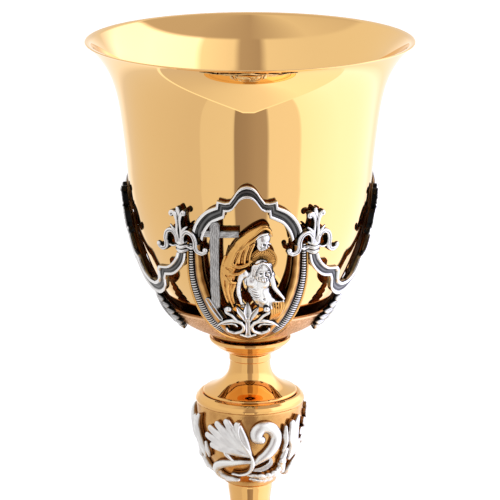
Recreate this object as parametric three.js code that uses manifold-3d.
// A communion chalice in millimetres, +Z up, with its origin at the centre of the foot's underside.
// A gilt cup sits in an openwork cradle of three oval medallions, linked by knots and swags, above a
// vase-shaped knop and a bell-shaped foot. One tie rod through the stem clamps everything together.
import * as THREE from 'three';
import { mergeVertices } from 'three/addons/utils/BufferGeometryUtils.js';
import Module from 'manifold-3d';

const wasm = await Module();
wasm.setup();

// Driving dimensions
const TOTAL_HEIGHT = 245;
const RIM_RADIUS = 55;
const FOOT_RADIUS = 72.5;
const UNITS = 3;
const GAP = 0.3;

// The cup: a rounded lower bell, a slightly conical middle and a flared lip
const CUP_WALL = 1.0;
const BELL_TOP = 202.2;
const BELL_RADIUS = 41;
const BELL_DEPTH = 57;
const LIP_START = 206;
const LIP_POWER = 4.6;
const CUP_DRAFT = 0.114;

// The cradle's back surface stands off the cup and closes in under it
const CRADLE_TOP = 207;
const CRADLE_RADIUS = 41.7;
const CRADLE_DEPTH = 62;

// The stem's joints, from the cup down
const ROD_RADIUS = 3;
const ROD_BORE = 3.4;
const STUD_RADIUS = 5;
const STUD_BORE = 5.4;
const STUD_FOOT = 137;
const SPOOL_TOP = 137.3;
const SPOOL_FOOT = 123.6;
const KNOP_FOOT = 91.9;
const DOME_TOP = 70.5;
const DOME_CEILING = 64;
const DOME_FOOT = 12;

// Relief layers of the cradle, measured out from its back surface
const LOW_RELIEF = 1.4;
const MID_RELIEF = 2;
const OVERLAY_BACK = 1.7;
const OVERLAY_FRONT = 2.8;

// Acanthus relief: its scale, where it starts down its skin, and its back and front above that skin
const KNOP_RELIEF = { size: 1, start: 0.8, back: 0.45, front: 2.3 };
const FOOT_RELIEF = { size: 1.5, start: 22, back: 0.7, front: 2.8 };

const KNOT_ANGLE = THREE.MathUtils.degToRad(31.8);
const GORE_HALF_ANGLE = 0.53;
const UNIT_ANGLE = (2 * Math.PI) / UNITS;

const POLISHED_GOLD = { color: 0xe0b46e, roughness: 0.12, metalness: 1 };
const ANTIQUE_GOLD = { color: 0xb98443, roughness: 0.4, metalness: 1 };
const OXIDISED_SILVER = { color: 0x9a9794, roughness: 0.45, metalness: 1 };
const BRIGHT_SILVER = { color: 0xd9d7d4, roughness: 0.4, metalness: 1 };
const PLAIN_BRASS = { color: 0xc09a50, roughness: 0.5, metalness: 1 };

const chalice = new THREE.Group();

function addPart(name, geometry, finish) {
  const mesh = new THREE.Mesh(geometry, new THREE.MeshStandardMaterial(finish));
  mesh.name = name;
  chalice.add(mesh);
}

// Turned parts: an outline of [radius, height] spun about the Z axis
function turned(outline, segments) {
  const points = outline.map(([radius, height]) => new THREE.Vector2(radius, height));
  const geometry = new THREE.LatheGeometry(points, segments);
  geometry.rotateX(Math.PI / 2);
  return facingOut(geometry);
}

function turnedRing(outline, segments) {
  return turned([...outline, outline[0]], segments);
}

function splinePoints(controls, count) {
  const curve = new THREE.SplineCurve(controls.map(([x, y]) => new THREE.Vector2(x, y)));
  return curve.getPoints(count).map((point) => [point.x, point.y]);
}

// Turns a geometry's faces outwards when its signed volume comes out negative
function facingOut(geometry) {
  const bare = new THREE.BufferGeometry();
  bare.setAttribute('position', geometry.getAttribute('position').clone());
  bare.setIndex(geometry.getIndex().clone());
  const merged = mergeVertices(bare, 1e-4);
  const position = merged.getAttribute('position');
  const corners = Array.from(merged.getIndex().array);
  const triangles = [];
  let volume = 0;
  for (let i = 0; i < corners.length; i += 3) {
    const [a, b, c] = corners.slice(i, i + 3);
    if (a !== b && b !== c && c !== a) {
      triangles.push([a, b, c]);
      const [p, q, r] = [a, b, c].map((k) => new THREE.Vector3().fromBufferAttribute(position, k));
      volume += p.dot(q.cross(r));
    }
  }
  merged.setIndex(triangles.flatMap(([a, b, c]) => (volume > 0 ? [a, b, c] : [a, c, b])));
  return merged;
}

// Joins closed geometries that run into each other into one body
function joined(geometries) {
  const solids = geometries.map((geometry) => {
    const solid = new wasm.Mesh({
      numProp: 3,
      vertProperties: new Float32Array(geometry.getAttribute('position').array),
      triVerts: new Uint32Array(geometry.getIndex().array),
    });
    return new wasm.Manifold(solid);
  });
  const mesh = solids.reduce((all, solid) => all.add(solid)).getMesh();
  const geometry = new THREE.BufferGeometry();
  geometry.setAttribute('position', new THREE.BufferAttribute(mesh.vertProperties, 3));
  geometry.setIndex(new THREE.BufferAttribute(mesh.triVerts, 1));
  return facingOut(geometry);
}

// A skin is a turned surface that relief is laid on. Its outline runs downwards as [radius, height].
// Relief has three coordinates: x to the right round the skin, down along its outline, and out from it.
function makeSkin(outline) {
  const stations = [];
  let run = 0;
  outline.forEach(([radius, height], i) => {
    const [r0, h0] = outline[Math.max(i - 1, 0)];
    const [r1, h1] = outline[Math.min(i + 1, outline.length - 1)];
    if (i > 0) run += Math.hypot(radius - r0, height - h0);
    const length = Math.hypot(r1 - r0, h1 - h0);
    stations.push({ down: run, radius, height, outR: (h0 - h1) / length, outZ: (r1 - r0) / length });
  });
  return stations;
}

// Reads the skin's values at a place down its outline
function skinAt(skin, down) {
  let k = 1;
  while (k < skin.length - 1 && skin[k].down < down) k += 1;
  const [a, b] = [skin[k - 1], skin[k]];
  const t = (down - a.down) / (b.down - a.down);
  return (key) => THREE.MathUtils.lerp(a[key], b[key], t);
}

const radiusAt = (skin, down) => skinAt(skin, down)('radius');

function onSkin(skin, angle, x, down, out) {
  const mix = skinAt(skin, down);
  const radius = mix('radius') + out * mix('outR');
  const turn = angle + x / mix('radius');
  return new THREE.Vector3(
    radius * Math.sin(turn),
    -radius * Math.cos(turn),
    mix('height') + out * mix('outZ'),
  );
}

// A band between two edges, both given as [x, down] from one end to the other. Its section is a list of
// [across, out], where across runs from 0 on the first edge to 1 on the second.
function band(skin, angle, firstEdge, secondEdge, sectionAt) {
  const rings = firstEdge.map(([x0, d0], i) => {
    const [x1, d1] = secondEdge[i];
    return sectionAt(i / (firstEdge.length - 1)).map(([across, out]) =>
      onSkin(skin, angle, x0 + (x1 - x0) * across, d0 + (d1 - d0) * across, out));
  });
  const sides = rings[0].length;
  const triangles = [];
  for (let i = 0; i < rings.length - 1; i += 1) {
    for (let j = 0; j < sides; j += 1) {
      const [a, b] = [i * sides + j, i * sides + ((j + 1) % sides)];
      triangles.push(a, b, a + sides, b, b + sides, a + sides);
    }
  }
  // Each end is closed by a strip between the section's first half and its second
  const last = (rings.length - 1) * sides;
  for (let j = 0; j < (sides - 1) / 2; j += 1) {
    const [a, b, c, d] = [j, j + 1, sides - 2 - j, sides - 1 - j];
    if (b <= c) triangles.push(a, d, b, last + a, last + b, last + d);
    if (b < c) triangles.push(b, d, c, last + b, last + c, last + d);
  }
  const geometry = new THREE.BufferGeometry().setFromPoints(rings.flat());
  geometry.setIndex(triangles);
  return facingOut(geometry);
}

function flatSection(back, front) {
  return () => [[0, back], [0.12, front], [0.88, front], [1, back]];
}

// A flat section with a middle line, so that a wide band follows a tightly curved skin
function splitSection(back, front) {
  return () => [[0.1, front], [0.5, front], [0.9, front], [1, back], [0.5, back], [0, back]];
}

function domedSection(back, front) {
  const shoulder = back + (front - back) * 0.7;
  return () => [[0, back], [0.1, shoulder], [0.5, front], [0.9, shoulder], [1, back]];
}

// A stroke follows [x, down, half width] points, smoothed into steps
function stroke(skin, angle, points, steps, sectionAt) {
  const curve = new THREE.CatmullRomCurve3(points.map((p) => new THREE.Vector3(...p)), false, 'centripetal');
  const spots = curve.getPoints(steps);
  const edges = [-1, 1].map((side) => spots.map((spot, i) => {
    const before = spots[Math.max(i - 1, 0)];
    const after = spots[Math.min(i + 1, spots.length - 1)];
    const [dx, dd] = [after.x - before.x, after.y - before.y];
    const scale = (side * spot.z) / Math.hypot(dx, dd);
    return [spot.x - dd * scale, spot.y + dx * scale];
  }));
  return band(skin, angle, edges[0], edges[1], sectionAt);
}

// Strokes that run into each other. Each is a little shallower than the one before it, so that no two
// of their faces coincide.
function strokes(skin, angle, paths, back, front, section = flatSection) {
  const step = 0.09;
  return paths.map((path, i) =>
    stroke(skin, angle, path, path.length - 1, section(back + i * step, front - i * step)));
}

// A rounded lump centred on the skin point, with radii across, along and out
function lump(skin, angle, [x, down, out], [rx, rd, ro]) {
  const sphere = new THREE.SphereGeometry(1, 6, 4);
  const position = sphere.getAttribute('position');
  for (let i = 0; i < position.count; i += 1) {
    const [px, py, pz] = [position.getX(i), position.getY(i), position.getZ(i)];
    const spot = onSkin(skin, angle, x + px * rx, down - py * rd, out + pz * ro);
    position.setXYZ(i, spot.x, spot.y, spot.z);
  }
  return facingOut(sphere);
}

const mirrored = (points) => points.map(([x, ...rest]) => [-x, ...rest]);
const bothSides = (rightHalf) => [...mirrored(rightHalf).reverse(), ...rightHalf.slice(1)];

// ---- Cup -------------------------------------------------------------------------------------------

function cupRadius(height) {
  const lip = RIM_RADIUS - BELL_RADIUS - CUP_DRAFT * (TOTAL_HEIGHT - BELL_TOP);
  if (height < BELL_TOP) {
    const depth = Math.min((BELL_TOP - height) / BELL_DEPTH, 1);
    return BELL_RADIUS * (1 - depth ** 1.6) ** (1 / 2.7);
  }
  const flare = Math.max(height - LIP_START, 0) / (TOTAL_HEIGHT - LIP_START);
  return BELL_RADIUS + CUP_DRAFT * (height - BELL_TOP) + lip * flare ** LIP_POWER;
}

function makeCup() {
  const bellFoot = BELL_TOP - BELL_DEPTH;
  const bellHeights = [0.998, 0.985, 0.955, 0.9, 0.81, 0.67, 0.5, 0.3, 0.12].map((depth) =>
    BELL_TOP - BELL_DEPTH * depth);
  const lipHeights = [BELL_TOP, 214, 224, 232, 238, 242, TOTAL_HEIGHT - 0.6];
  const outside = [[0, bellFoot]];
  [...bellHeights, ...lipHeights].forEach((height) => outside.push([cupRadius(height), height]));
  const inside = outside.slice(1, -1).map(([radius, height]) => {
    const slope = (cupRadius(height + 0.05) - cupRadius(height - 0.05)) / 0.1;
    const scale = CUP_WALL / Math.hypot(1, slope);
    return [radius - scale, height + slope * scale];
  });
  const lip = [[RIM_RADIUS, TOTAL_HEIGHT - 0.25], [RIM_RADIUS - 0.4, TOTAL_HEIGHT]];
  return turned([...outside, ...lip, ...inside.reverse(), [0, bellFoot + CUP_WALL]], 32);
}

// ---- Stem, knop and foot -----------------------------------------------------------------------------

const cupStud = [
  [0, 143],
  [ROD_BORE, 143],
  [ROD_BORE, STUD_FOOT],
  [STUD_RADIUS, STUD_FOOT],
  [STUD_RADIUS, 145],
  [0, 145],
];

const cradleHub = [
  [STUD_BORE, 144.4],
  [11.2, 144.6],
  [13.7, 145.9],
  [14.0, 144.6],
  [12.6, 143.1],
  [STUD_BORE, 142],
];

const dish = [
  [STUD_BORE, 141.6],
  [12.7, 142.7],
  [13.4, 143.2],
  [13.8, 143.2],
  [13.6, 142.2],
  [12.3, 140.8],
  [10.7, 139.5],
  [8.4, 138],
  [6.9, 137.6],
  [STUD_BORE, 137.6],
];

const upperSpool = [
  [STUD_BORE, SPOOL_TOP],
  [7, SPOOL_TOP],
  [7.1, 135.2],
  [6.85, 134.9],
  [7.3, 131.5],
  [7.9, 129.5],
  [9.6, 127.7],
  [12.5, 126],
  [15.8, 124.4],
  [16, SPOOL_FOOT],
  [ROD_BORE, SPOOL_FOOT],
  [ROD_BORE, 136.7],
  [STUD_BORE, 136.7],
];

const knopBody = [
  [18.2, 119.8],
  [17.9, 113.5],
  [16.4, 106],
  [13.6, 98.8],
  [9.5, 93.8],
];
const knopSide = splinePoints(knopBody, 8);
const knop = [
  [ROD_BORE, SPOOL_FOOT - GAP],
  [16.6, SPOOL_FOOT - GAP],
  [17.4, 123.7],
  [18.5, 122.6],
  [18.6, 121.5],
  [18.2, 120.3],
  ...knopSide,
  [9.2, 93],
  [8.9, KNOP_FOOT],
  [ROD_BORE, KNOP_FOOT],
];

const lowerSpool = [
  [ROD_BORE, KNOP_FOOT - GAP],
  [7.7, KNOP_FOOT - GAP],
  [7.5, 89],
  [6.9, 83],
  [7.2, 78],
  [8.2, 74.5],
  [10.4, 72.3],
  [12.6, 71.4],
  [12.7, DOME_TOP + GAP],
  [ROD_BORE, DOME_TOP + GAP],
];

const bellBody = [
  [12.4, 63],
  [14.2, 54],
  [18.8, 45],
  [26, 37],
  [36, 30.5],
  [46.5, 25.2],
  [55, 20],
  [59.8, 15.6],
  [61.2, DOME_FOOT],
];
const bellOutside = splinePoints(bellBody, 9);
const bellInside = splinePoints([
  [10.8, DOME_CEILING],
  [12.6, 53],
  [17.3, 43.6],
  [25, 35.2],
  [35.2, 28.8],
  [45.6, 23.6],
  [53.8, 18.6],
  [58.2, 14.8],
  [59.6, DOME_FOOT],
], 7);
const footDome = [
  [ROD_BORE, DOME_TOP],
  [13, DOME_TOP],
  [13.9, 69.5],
  [13.9, 68.5],
  [13, 67.5],
  [12.2, 66.4],
  ...bellOutside,
  ...bellInside.reverse(),
  [ROD_BORE, DOME_CEILING],
];

const footRim = [
  [58.6, DOME_FOOT - GAP],
  [62.6, DOME_FOOT - GAP],
  [63.5, 10.8],
  [63.5, 9.6],
  [62.8, 8.6],
  [65.5, 7.6],
  [69, 5.2],
  [71.6, 4.4],
  [FOOT_RADIUS, 3.4],
  [FOOT_RADIUS, 0],
  [66, 0],
  [61.5, 6],
  [58.6, 9.2],
];

const tieRod = [[0, 54], [ROD_RADIUS, 54], [ROD_RADIUS, 142.7], [0, 142.7]];

const WASHER_TOP = DOME_CEILING - GAP;
const WASHER_FOOT = WASHER_TOP - 1.5;
const washer = [
  [ROD_BORE, WASHER_TOP],
  [8, WASHER_TOP],
  [8, WASHER_FOOT],
  [ROD_BORE, WASHER_FOOT],
];

function makeTieNut() {
  const [thickness, corner] = [5, 6];
  const hexagon = new THREE.Shape();
  for (let i = 0; i < 6; i += 1) {
    const turn = (i * Math.PI) / 3;
    const spot = [corner * Math.cos(turn), corner * Math.sin(turn)];
    if (i === 0) hexagon.moveTo(...spot);
    else hexagon.lineTo(...spot);
  }
  hexagon.closePath();
  const thread = new THREE.Path();
  thread.absarc(0, 0, ROD_BORE, 0, 2 * Math.PI, true);
  hexagon.holes.push(thread);
  const nut = new THREE.ExtrudeGeometry(hexagon, { depth: thickness, bevelEnabled: false, curveSegments: 8 });
  nut.translate(0, 0, WASHER_FOOT - GAP - thickness);
  const plain = new THREE.BufferGeometry();
  plain.setAttribute('position', nut.getAttribute('position'));
  return facingOut(mergeVertices(plain, 1e-4));
}

// ---- Cradle ------------------------------------------------------------------------------------------

// The outline is a superellipse that stops just short of the axis
function cradleOutline() {
  const outline = [];
  const [steps, deepest] = [90, 0.999];
  for (let i = 0; i <= steps; i += 1) {
    const depth = Math.sin(((i / steps) * Math.PI) / 2) * deepest;
    const radius = CRADLE_RADIUS * (1 - depth * depth) ** (1 / 3);
    outline.push([radius, CRADLE_TOP - CRADLE_DEPTH * depth]);
  }
  return outline;
}

const cradle = makeSkin(cradleOutline());

// The frame is a cusped arch over the upper half of the medallion: right half, outer edge then inner edge
const frameOuter = [
  [0, 1.8], [1.7, 2.3], [3.1, 3.6], [4.3, 5.5], [5.6, 7.4], [7.0, 7.5], [9.4, 7.1], [9.8, 9.0],
  [11.7, 9.8], [13.6, 11], [15.8, 13.3], [17.2, 15.9], [17.9, 18.4],
];
const frameInner = [
  [0, 6], [1.2, 6.2], [2.4, 7], [3.4, 8.3], [4.4, 9.8], [5.4, 10.4], [6.8, 10.7], [7.1, 12.7],
  [9, 13.6], [11.2, 14.9], [12.9, 17.2], [13.9, 19.6], [14.3, 21.6],
];

function makeFrame(angle) {
  const section = (along) => {
    const front = Math.min(along, 1 - along) < 0.1 ? LOW_RELIEF - 0.2 : MID_RELIEF;
    return [[0, 0.2], [0.1, front], [0.9, front], [1, 0.2]];
  };
  return band(cradle, angle, bothSides(frameOuter), bothSides(frameInner), section);
}

// The ring is the oval's lower U: a beaded outer edge and a half-round moulding
const ringOuter = [
  [0, 70], [4.3, 67.3], [8.6, 63.1], [12.2, 57.8], [15.4, 52.2], [17.7, 46.7], [19.3, 41.2], [20.3, 35],
  [19.5, 28], [19, 22.4],
];
const ringInner = [
  [0, 60.6], [2.5, 59.6], [4.9, 57], [7, 53.6], [9.2, 49.8], [11.4, 45], [13.2, 39.8], [14.4, 33.8],
  [14.7, 27.5], [14.6, 22.4],
];

function makeRing(angle) {
  const section = () => [[0, 0], [0, 0.9], [0.35, 1], [0.5, LOW_RELIEF], [0.85, LOW_RELIEF], [1, 0]];
  return band(cradle, angle, bothSides(ringOuter), bothSides(ringInner), section);
}

function makeCross(angle) {
  const section = flatSection(0.8, MID_RELIEF);
  return joined([
    stroke(cradle, angle, [[-10.2, 16.2, 1.5], [-10.4, 27, 1.5], [-10.1, 40.8, 1.45]], 4, section),
    stroke(cradle, angle, [[-12.4, 18.3, 0.95], [-4.1, 18.1, 0.9]], 3, section),
    stroke(cradle, angle, [[-11.2, 38.6, 0.8], [-11.9, 43, 0.9], [-8.6, 50.2, 0.9]], 4,
      flatSection(OVERLAY_BACK, OVERLAY_FRONT - 0.3)),
  ]);
}

// The veiled figure's outline: left and right edges going down
const veilLeft = [
  [5, 13], [1.5, 15], [-1.2, 17], [-3.4, 19], [-5.1, 21], [-7, 24], [-8.4, 28], [-8.4, 32],
  [-8.8, 36], [-7.7, 40], [-5.8, 45],
];
const veilRight = [
  [6.2, 13], [7.6, 15], [8.1, 17], [7.4, 19], [5.9, 21], [1, 24], [-2.6, 28], [-3.5, 32],
  [-4.3, 36], [-4.2, 40], [-3.6, 45],
];

function makeVeiledFigure(angle) {
  return band(cradle, angle, veilLeft, veilRight, domedSection(0.3, 2.6));
}

function makeHalo(angle) {
  const edge = [[-1, 0.15], [-0.75, 0.7], [-0.3, 0.97], [0.3, 0.97], [0.75, 0.7], [1, 0.15]];
  const [centreX, centreDown, radius] = [5.6, 26, 4.1];
  const side = (sign) => edge.map(([along, across]) =>
    [centreX + sign * across * radius, centreDown + along * radius]);
  return band(cradle, angle, side(-1), side(1), flatSection(0.4, 1.2));
}

function makeSeatedFigure(angle) {
  const torsoLeft = [[-2.2, 30.6], [-2.3, 32.5], [-0.4, 35.5], [0.6, 38.5], [1.2, 41.5], [1.6, 43.6]];
  const torsoRight = [[7.2, 31.2], [8.2, 32.7], [8, 35.5], [7.2, 38.5], [7.8, 41.5], [9, 43.6]];
  const nearArm = [[-1, 31.2, 1], [-2.3, 34.5, 0.9], [-2.7, 38, 0.8], [-2, 43, 0.8]];
  const farArm = [[7, 31.8, 1], [8, 35.5, 0.9], [9.2, 38.4, 0.8], [10.7, 40.6, 0.8]];
  const lap = [[2.8, 43, 2.1], [6.6, 43.4, 2.4], [8.9, 45, 1.9]];
  return joined([
    band(cradle, angle, torsoLeft, torsoRight, domedSection(0.5, 2.6)),
    lump(cradle, angle, [4.6, 29.8, 3], [2.7, 3.7, 1.5]),
    ...strokes(cradle, angle, [nearArm], 0.7, 2.4),
    ...strokes(cradle, angle, [farArm], 1.8, 3),
    ...strokes(cradle, angle, [lap], 0.4, 1.4),
  ]);
}

function makePalmette(angle) {
  const stem = [[0, 43, 0.3], [0, 46.6, 1], [0, 50, 0.9], [0, 58.8, 0.7]];
  const scroll = [
    [-9.2, 52.8, 0.3], [-6, 50, 0.7], [-2, 50.8, 0.7], [-1.2, 54, 0.8], [-3.6, 56.5, 0.7], [-5.1, 55, 0.5],
  ];
  const stalk = [[-2.6, 50.8, 0.6], [-4.8, 47.8, 0.5], [-6.2, 45.4, 0.5]];
  const sideLeaf = [[-0.3, 50.4, 0.6], [-1.8, 47.6, 0.9], [-3, 45.4, 0.3]];
  const paths = [stem, ...[scroll, stalk, sideLeaf].flatMap((path) => [path, mirrored(path)])];
  return joined([
    ...strokes(cradle, angle, paths, OVERLAY_BACK, OVERLAY_FRONT + 0.3),
    lump(cradle, angle, [-6.3, 44.9, 2.4], [1.2, 1.2, 0.7]),
    lump(cradle, angle, [6.3, 44.9, 2.4], [1.2, 1.2, 0.7]),
  ]);
}

function makeKnot(angle) {
  const stem = [[0, 21, 1.2], [0, 16, 1.1], [-0.1, 13.5, 0.9], [-0.3, 11.4, 2], [-0.6, 8.9, 0.7]];
  const collar = [[0, 20.2, 2.3], [0, 22.6, 2.8], [0, 25.4, 2.5]];
  const shoulder = [[0.4, 18, 0.9], [2.2, 16.7, 0.9], [3.4, 16.9, 0.7]];
  const tail = [[2.2, 16.8, 0.7], [4.7, 17.7, 0.8], [5.3, 21.4, 0.8], [6.3, 24.4, 0.8], [7.9, 24.8, 0.7]];
  const petal = [[0.3, 18.6, 0.6], [1.8, 16.2, 0.6], [2.8, 14.8, 0.3]];
  const paths = [stem, collar, ...[shoulder, petal].flatMap((path) => [path, mirrored(path)])];
  const tails = [tail, mirrored(tail)];
  return joined([
    ...strokes(cradle, angle, paths, 0.6, OVERLAY_FRONT),
    ...strokes(cradle, angle, tails, OVERLAY_BACK, OVERLAY_FRONT + 0.1),
    lump(cradle, angle, [8.7, 24.1, 2.4], [1.2, 1.2, 0.6]),
    lump(cradle, angle, [-8.7, 24.1, 2.4], [1.2, 1.2, 0.6]),
  ]);
}

// The swag hangs from knot to knot with a cusp on each side: left half, lower edge then upper edge
const swagLower = [
  [0, 44.6], [4, 43.4], [7.6, 40.4], [9.2, 37.2], [10.3, 35.5], [13.6, 34.7], [16.8, 32.4],
  [19.5, 29.3], [21, 25.9],
];
const swagUpper = [
  [0, 39.8], [3.2, 39], [5.8, 37], [6.6, 34.6], [7.3, 32.4], [12, 31.6], [14.5, 30],
  [16.4, 28], [17.6, 25.9],
];

function makeSwag(angle) {
  return band(cradle, angle, bothSides(swagLower), bothSides(swagUpper), flatSection(0.4, MID_RELIEF + 0.3));
}

function makeLeaf(angle) {
  const edge = [[0.7, 45], [2.2, 46.4], [2, 48.4], [3.8, 50.4], [3.4, 52.4], [5, 54.4], [3.6, 57.4], [0.8, 60]];
  return band(cradle, angle, mirrored(edge), edge, domedSection(0.8, 2.6));
}

// The gore is the plain lower plate between two medallions. Its sides lie in planes through the axis, so
// that each of its facets is flat.
function makeGore(angle) {
  const edge = [53.6, 57, 60, 63, 66, 69].map((down) => [GORE_HALF_ANGLE * radiusAt(cradle, down), down]);
  const steps = [0, 0.2, 0.4, 0.6, 0.8, 1];
  const front = steps.map((across) => [across, 0.6]);
  const back = steps.map((across) => [1 - across, -0.2]);
  const section = () => [...front, ...back];
  return band(cradle, angle, mirrored(edge), edge, section);
}

// ---- Acanthus relief on the knop and on the foot -------------------------------------------------------

const knopSkin = makeSkin(splinePoints(knopBody, 30));
const bellSkin = makeSkin(bellOutside);

// One unit of scrolling acanthus: a lobed leaf, a great C-scroll, a thick stem and a wavy leaf
const acanthus = {
  leaf: [[0.6, 14.6, 0.6], [-3.5, 9, 3.4], [-8.2, 6.2, 5.2], [-12.8, 5, 4.6], [-15.6, 7, 2]],
  vine: [[-2.7, 1.2, 0.4], [-3, 5.3, 0.5], [-1.4, 9, 0.6], [0.9, 13, 0.7], [1.1, 16.6, 0.9], [-0.6, 20, 0.7],
    [-4.3, 20.6, 0.4]],
  scroll: [[1.2, 16, 1.2], [4.8, 13.6, 1.8], [7.8, 10.8, 1.9], [9.4, 7.4, 1.9], [8.2, 3.8, 1.8],
    [4.6, 3.2, 1.8], [2.8, 5.8, 1.7]],
  stem: [[1.2, 15.8, 0.9], [-3.5, 16.4, 1.2], [-8.5, 17.6, 1.5], [-11.2, 20.4, 1.6], [-8.6, 24, 1.2],
    [-4.4, 24.2, 1.3]],
  wave: [[-0.4, 19.2, 0.8], [2, 21.4, 1.2], [5, 22.6, 1.6], [8, 21.8, 1.2]],
};

function makeAcanthus(skin, angle, { size, start, back, front }) {
  const paths = Object.values(acanthus).map((path) =>
    path.map(([x, down, half]) => [x * size, start + down * size, half * size]));
  return joined(strokes(skin, angle, paths, back, front, splitSection));
}

// ---- Assembly ------------------------------------------------------------------------------------------

addPart('cup', makeCup(), POLISHED_GOLD);
addPart('cup_stud', turned(cupStud, 16), PLAIN_BRASS);
addPart('cradle_hub', turnedRing(cradleHub, 24), ANTIQUE_GOLD);
addPart('dish', turnedRing(dish, 24), POLISHED_GOLD);
addPart('upper_spool', turnedRing(upperSpool, 24), POLISHED_GOLD);
addPart('knop', turnedRing(knop, 24), ANTIQUE_GOLD);
addPart('lower_spool', turnedRing(lowerSpool, 24), POLISHED_GOLD);
addPart('foot_dome', turnedRing(footDome, 32), POLISHED_GOLD);
addPart('foot_rim', turnedRing(footRim, 32), POLISHED_GOLD);
addPart('tie_rod', turned(tieRod, 12), PLAIN_BRASS);
addPart('tie_washer', turnedRing(washer, 16), PLAIN_BRASS);
addPart('tie_nut', makeTieNut(), PLAIN_BRASS);

for (let unit = 0; unit < UNITS; unit += 1) {
  const angle = unit * UNIT_ANGLE;
  const between = angle + UNIT_ANGLE / 2;
  const label = unit + 1;
  addPart(`medallion_frame_${label}`, makeFrame(angle), OXIDISED_SILVER);
  addPart(`medallion_ring_${label}`, makeRing(angle), ANTIQUE_GOLD);
  addPart(`cross_${label}`, makeCross(angle), OXIDISED_SILVER);
  addPart(`veiled_figure_${label}`, makeVeiledFigure(angle), ANTIQUE_GOLD);
  addPart(`halo_${label}`, makeHalo(angle), ANTIQUE_GOLD);
  addPart(`seated_figure_${label}`, makeSeatedFigure(angle), BRIGHT_SILVER);
  addPart(`palmette_${label}`, makePalmette(angle), BRIGHT_SILVER);
  addPart(`knot_left_${label}`, makeKnot(angle - KNOT_ANGLE), BRIGHT_SILVER);
  addPart(`knot_right_${label}`, makeKnot(angle + KNOT_ANGLE), BRIGHT_SILVER);
  addPart(`swag_${label}`, makeSwag(between), BRIGHT_SILVER);
  addPart(`leaf_${label}`, makeLeaf(between), BRIGHT_SILVER);
  addPart(`gore_${label}`, makeGore(between), ANTIQUE_GOLD);
  addPart(`knop_acanthus_${label}`, makeAcanthus(knopSkin, angle, KNOP_RELIEF), BRIGHT_SILVER);
  addPart(`foot_acanthus_${label}`, makeAcanthus(bellSkin, angle, FOOT_RELIEF), BRIGHT_SILVER);
}

export default chalice;
